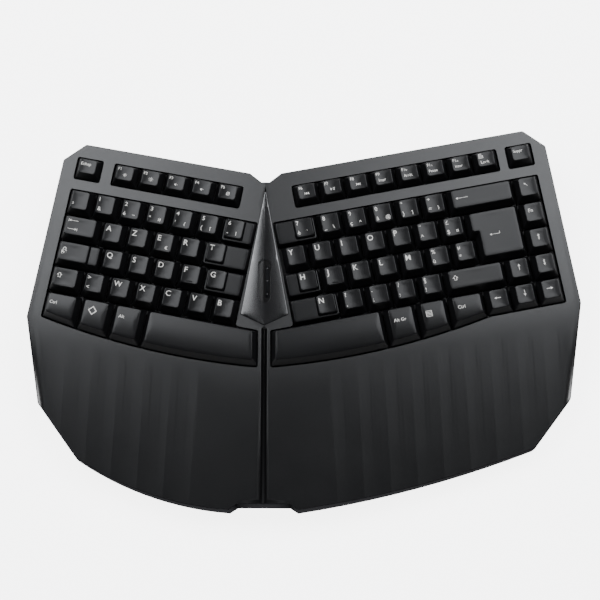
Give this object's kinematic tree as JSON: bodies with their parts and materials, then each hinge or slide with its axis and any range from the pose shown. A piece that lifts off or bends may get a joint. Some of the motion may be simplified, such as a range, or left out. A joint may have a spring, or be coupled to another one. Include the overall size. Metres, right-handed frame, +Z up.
{
  "type": "ergonomic keyboard",
  "caption": "Split ergonomic keyboard with tented key fields, pleated palm rests, sprung keys, flip feet and a sliding battery door.",
  "frame": {"origin": "centre of the bounding box at the height of the rubber feet's underside", "axes": "+Z up, +Y to the rear, +X to the typist's right"},
  "size_m": [0.3948, 0.2741, 0.0491],
  "materials": {
    "key_black": "satin moulded plastic, legends printed in off-white",
    "housing_black": "fine spark-eroded texture",
    "fascia_gloss": "polished",
    "window_smoke": "smoked translucent plastic",
    "light_white": "translucent white",
    "plate_black": "plain moulded plastic",
    "dome_rubber": "translucent silicone",
    "membrane_film": "printed polyester film",
    "back_plate_metal": "pressed sheet",
    "board_green": "solder resist on glass laminate",
    "component_black": "moulded component bodies",
    "spring_steel": "bright spring wire and strip",
    "cell_jacket": "printed jacket, plain",
    "foot_rubber": "matt rubber",
    "screw_steel": "zinc-plated steel"
  },
  "bodies": {
    "housing": {"top_cover": "housing_black", "bottom_cover": "housing_black", "centre_fascia": "fascia_gloss", "indicator_window": "window_smoke", "indicator_lights": "light_white", "left_key_plate": "plate_black", "right_key_plate": "plate_black", "left_dome_sheet": "dome_rubber", "right_dome_sheet": "dome_rubber", "left_membrane": "membrane_film", "right_membrane": "membrane_film", "left_back_plate": "back_plate_metal", "right_back_plate": "back_plate_metal", "controller_board": "board_green", "board_components": "component_black", "battery_contacts": "spring_steel", "battery_cells": "cell_jacket", "rubber_feet": "foot_rubber", "case_screws": "screw_steel", "plate_screws": "screw_steel"},
    "escape_key": {"escape_key": "key_black"},
    "left_function_keys": {"left_function_keys": "key_black"},
    "left_number_keys": {"left_number_keys": "key_black"},
    "tab_key": {"tab_key": "key_black"},
    "left_upper_keys": {"left_upper_keys": "key_black"},
    "caps_lock_key": {"caps_lock_key": "key_black"},
    "left_home_keys": {"left_home_keys": "key_black"},
    "left_shift_key": {"left_shift_key": "key_black"},
    "left_lower_keys": {"left_lower_keys": "key_black"},
    "left_control_key": {"left_control_key": "key_black"},
    "meta_key": {"meta_key": "key_black"},
    "alt_key": {"alt_key": "key_black"},
    "left_space_key": {"left_space_key": "key_black"},
    "right_function_keys": {"right_function_keys": "key_black"},
    "delete_key": {"delete_key": "key_black"},
    "right_number_keys": {"right_number_keys": "key_black"},
    "backspace_key": {"backspace_key": "key_black"},
    "home_key": {"home_key": "key_black"},
    "right_upper_keys": {"right_upper_keys": "key_black"},
    "enter_key": {"enter_key": "key_black"},
    "fn_key": {"fn_key": "key_black"},
    "right_home_keys": {"right_home_keys": "key_black"},
    "page_up_key": {"page_up_key": "key_black"},
    "right_lower_keys": {"right_lower_keys": "key_black"},
    "right_shift_key": {"right_shift_key": "key_black"},
    "up_key": {"up_key": "key_black"},
    "page_down_key": {"page_down_key": "key_black"},
    "left_arrow_key": {"left_arrow_key": "key_black"},
    "down_key": {"down_key": "key_black"},
    "right_arrow_key": {"right_arrow_key": "key_black"},
    "right_space_key": {"right_space_key": "key_black"},
    "alt_graph_key": {"alt_graph_key": "key_black"},
    "menu_key": {"menu_key": "key_black"},
    "right_control_key": {"right_control_key": "key_black"},
    "left_space_wire": {"left_space_wire": "spring_steel"},
    "right_space_wire": {"right_space_wire": "spring_steel"},
    "battery_door": {"battery_door": "housing_black"},
    "power_switch": {"power_switch": "component_black"},
    "left_flip_foot": {"left_flip_foot": "housing_black"},
    "right_flip_foot": {"right_flip_foot": "housing_black"}
  },
  "joints": [
    {"name": "escape_press", "type": "slide", "parent": "housing", "child": "escape_key", "axis": [0.0684, 0.0557, -0.9961], "range_m": [0, 0.0032], "stiffness_N_per_m": 150, "springref_m": -0.0015, "deforming": ["left_dome_sheet"]},
    {"name": "left_function_press", "type": "slide", "parent": "housing", "child": "left_function_keys", "axis": [0.0684, 0.0557, -0.9961], "range_m": [0, 0.0032], "stiffness_N_per_m": 750, "springref_m": -0.0015, "deforming": ["left_dome_sheet"]},
    {"name": "left_number_press", "type": "slide", "parent": "housing", "child": "left_number_keys", "axis": [0.0684, 0.0557, -0.9961], "range_m": [0, 0.0032], "stiffness_N_per_m": 1050, "springref_m": -0.0015, "deforming": ["left_dome_sheet"]},
    {"name": "tab_press", "type": "slide", "parent": "housing", "child": "tab_key", "axis": [0.0684, 0.0557, -0.9961], "range_m": [0, 0.0032], "stiffness_N_per_m": 150, "springref_m": -0.0015, "deforming": ["left_dome_sheet"]},
    {"name": "left_upper_press", "type": "slide", "parent": "housing", "child": "left_upper_keys", "axis": [0.0684, 0.0557, -0.9961], "range_m": [0, 0.0032], "stiffness_N_per_m": 750, "springref_m": -0.0015, "deforming": ["left_dome_sheet"]},
    {"name": "caps_lock_press", "type": "slide", "parent": "housing", "child": "caps_lock_key", "axis": [0.0684, 0.0557, -0.9961], "range_m": [0, 0.0032], "stiffness_N_per_m": 150, "springref_m": -0.0015, "deforming": ["left_dome_sheet"]},
    {"name": "left_home_press", "type": "slide", "parent": "housing", "child": "left_home_keys", "axis": [0.0684, 0.0557, -0.9961], "range_m": [0, 0.0032], "stiffness_N_per_m": 750, "springref_m": -0.0015, "deforming": ["left_dome_sheet"]},
    {"name": "left_shift_press", "type": "slide", "parent": "housing", "child": "left_shift_key", "axis": [0.0684, 0.0557, -0.9961], "range_m": [0, 0.0032], "stiffness_N_per_m": 150, "springref_m": -0.0015, "deforming": ["left_dome_sheet"]},
    {"name": "left_lower_press", "type": "slide", "parent": "housing", "child": "left_lower_keys", "axis": [0.0684, 0.0557, -0.9961], "range_m": [0, 0.0032], "stiffness_N_per_m": 900, "springref_m": -0.0015, "deforming": ["left_dome_sheet"]},
    {"name": "left_control_press", "type": "slide", "parent": "housing", "child": "left_control_key", "axis": [0.0684, 0.0557, -0.9961], "range_m": [0, 0.0032], "stiffness_N_per_m": 150, "springref_m": -0.0015, "deforming": ["left_dome_sheet"]},
    {"name": "meta_press", "type": "slide", "parent": "housing", "child": "meta_key", "axis": [0.0684, 0.0557, -0.9961], "range_m": [0, 0.0032], "stiffness_N_per_m": 150, "springref_m": -0.0015, "deforming": ["left_dome_sheet"]},
    {"name": "alt_press", "type": "slide", "parent": "housing", "child": "alt_key", "axis": [0.0684, 0.0557, -0.9961], "range_m": [0, 0.0032], "stiffness_N_per_m": 150, "springref_m": -0.0015, "deforming": ["left_dome_sheet"]},
    {"name": "left_space_press", "type": "slide", "parent": "housing", "child": "left_space_key", "axis": [0.0684, 0.0557, -0.9961], "range_m": [0, 0.0032], "stiffness_N_per_m": 300, "springref_m": -0.0015, "deforming": ["left_dome_sheet"]},
    {"name": "right_function_press", "type": "slide", "parent": "housing", "child": "right_function_keys", "axis": [-0.0684, 0.0557, -0.9961], "range_m": [0, 0.0032], "stiffness_N_per_m": 1200, "springref_m": -0.0015, "deforming": ["right_dome_sheet"]},
    {"name": "delete_press", "type": "slide", "parent": "housing", "child": "delete_key", "axis": [-0.0684, 0.0557, -0.9961], "range_m": [0, 0.0032], "stiffness_N_per_m": 150, "springref_m": -0.0015, "deforming": ["right_dome_sheet"]},
    {"name": "right_number_press", "type": "slide", "parent": "housing", "child": "right_number_keys", "axis": [-0.0684, 0.0557, -0.9961], "range_m": [0, 0.0032], "stiffness_N_per_m": 900, "springref_m": -0.0015, "deforming": ["right_dome_sheet"]},
    {"name": "backspace_press", "type": "slide", "parent": "housing", "child": "backspace_key", "axis": [-0.0684, 0.0557, -0.9961], "range_m": [0, 0.0032], "stiffness_N_per_m": 180, "springref_m": -0.0015, "deforming": ["right_dome_sheet"]},
    {"name": "home_press", "type": "slide", "parent": "housing", "child": "home_key", "axis": [-0.0684, 0.0557, -0.9961], "range_m": [0, 0.0032], "stiffness_N_per_m": 150, "springref_m": -0.0015, "deforming": ["right_dome_sheet"]},
    {"name": "right_upper_press", "type": "slide", "parent": "housing", "child": "right_upper_keys", "axis": [-0.0684, 0.0557, -0.9961], "range_m": [0, 0.0032], "stiffness_N_per_m": 1050, "springref_m": -0.0015, "deforming": ["right_dome_sheet"]},
    {"name": "enter_press", "type": "slide", "parent": "housing", "child": "enter_key", "axis": [-0.0684, 0.0557, -0.9961], "range_m": [0, 0.0032], "stiffness_N_per_m": 210, "springref_m": -0.0015, "deforming": ["right_dome_sheet"]},
    {"name": "fn_press", "type": "slide", "parent": "housing", "child": "fn_key", "axis": [-0.0684, 0.0557, -0.9961], "range_m": [0, 0.0032], "stiffness_N_per_m": 150, "springref_m": -0.0015, "deforming": ["right_dome_sheet"]},
    {"name": "right_home_press", "type": "slide", "parent": "housing", "child": "right_home_keys", "axis": [-0.0684, 0.0557, -0.9961], "range_m": [0, 0.0032], "stiffness_N_per_m": 1050, "springref_m": -0.0015, "deforming": ["right_dome_sheet"]},
    {"name": "page_up_press", "type": "slide", "parent": "housing", "child": "page_up_key", "axis": [-0.0684, 0.0557, -0.9961], "range_m": [0, 0.0032], "stiffness_N_per_m": 150, "springref_m": -0.0015, "deforming": ["right_dome_sheet"]},
    {"name": "right_lower_press", "type": "slide", "parent": "housing", "child": "right_lower_keys", "axis": [-0.0684, 0.0557, -0.9961], "range_m": [0, 0.0032], "stiffness_N_per_m": 750, "springref_m": -0.0015, "deforming": ["right_dome_sheet"]},
    {"name": "right_shift_press", "type": "slide", "parent": "housing", "child": "right_shift_key", "axis": [-0.0684, 0.0557, -0.9961], "range_m": [0, 0.0032], "stiffness_N_per_m": 180, "springref_m": -0.0015, "deforming": ["right_dome_sheet"]},
    {"name": "up_press", "type": "slide", "parent": "housing", "child": "up_key", "axis": [-0.0684, 0.0557, -0.9961], "range_m": [0, 0.0032], "stiffness_N_per_m": 150, "springref_m": -0.0015, "deforming": ["right_dome_sheet"]},
    {"name": "page_down_press", "type": "slide", "parent": "housing", "child": "page_down_key", "axis": [-0.0684, 0.0557, -0.9961], "range_m": [0, 0.0032], "stiffness_N_per_m": 150, "springref_m": -0.0015, "deforming": ["right_dome_sheet"]},
    {"name": "left_arrow_press", "type": "slide", "parent": "housing", "child": "left_arrow_key", "axis": [-0.0684, 0.0557, -0.9961], "range_m": [0, 0.0032], "stiffness_N_per_m": 150, "springref_m": -0.0015, "deforming": ["right_dome_sheet"]},
    {"name": "down_press", "type": "slide", "parent": "housing", "child": "down_key", "axis": [-0.0684, 0.0557, -0.9961], "range_m": [0, 0.0032], "stiffness_N_per_m": 150, "springref_m": -0.0015, "deforming": ["right_dome_sheet"]},
    {"name": "right_arrow_press", "type": "slide", "parent": "housing", "child": "right_arrow_key", "axis": [-0.0684, 0.0557, -0.9961], "range_m": [0, 0.0032], "stiffness_N_per_m": 150, "springref_m": -0.0015, "deforming": ["right_dome_sheet"]},
    {"name": "right_space_press", "type": "slide", "parent": "housing", "child": "right_space_key", "axis": [-0.0684, 0.0557, -0.9961], "range_m": [0, 0.0032], "stiffness_N_per_m": 300, "springref_m": -0.0015, "deforming": ["right_dome_sheet"]},
    {"name": "alt_graph_press", "type": "slide", "parent": "housing", "child": "alt_graph_key", "axis": [-0.0684, 0.0557, -0.9961], "range_m": [0, 0.0032], "stiffness_N_per_m": 150, "springref_m": -0.0015, "deforming": ["right_dome_sheet"]},
    {"name": "menu_press", "type": "slide", "parent": "housing", "child": "menu_key", "axis": [-0.0684, 0.0557, -0.9961], "range_m": [0, 0.0032], "stiffness_N_per_m": 150, "springref_m": -0.0015, "deforming": ["right_dome_sheet"]},
    {"name": "right_control_press", "type": "slide", "parent": "housing", "child": "right_control_key", "axis": [-0.0684, 0.0557, -0.9961], "range_m": [0, 0.0032], "stiffness_N_per_m": 150, "springref_m": -0.0015, "deforming": ["right_dome_sheet"]},
    {"name": "left_space_wire_turn", "type": "hinge", "parent": "housing", "child": "left_space_wire", "pos_m": [-0.07211, -0.02479, 0.03171], "axis": [-0.9775, 0.2033, -0.0557], "range_deg": [0, 20.63]},
    {"name": "right_space_wire_turn", "type": "hinge", "parent": "housing", "child": "right_space_wire", "pos_m": [0.01732, -0.02482, 0.03172], "axis": [-0.9775, -0.2033, 0.0557], "range_deg": [0, 20.63]},
    {"name": "battery_door_slide", "type": "slide", "parent": "housing", "child": "battery_door", "axis": [0, -1, 0], "range_m": [0, 0.004]},
    {"name": "power_switch_slide", "type": "slide", "parent": "housing", "child": "power_switch", "axis": [1, 0, 0], "range_m": [0, 0.0025]},
    {"name": "left_flip_foot_turn", "type": "hinge", "parent": "housing", "child": "left_flip_foot", "pos_m": [-0.13234, 0.10827, 0.0048], "axis": [1, 0, 0], "range_deg": [0, 80]},
    {"name": "right_flip_foot_turn", "type": "hinge", "parent": "housing", "child": "right_flip_foot", "pos_m": [0.13266, 0.10827, 0.0048], "axis": [1, 0, 0], "range_deg": [0, 80]}
  ],
  "couplings": [
    {"joint": "left_space_wire_turn", "follows": "left_space_press", "rad_per_m": 111.7},
    {"joint": "right_space_wire_turn", "follows": "right_space_press", "rad_per_m": 111.7}
  ]
}
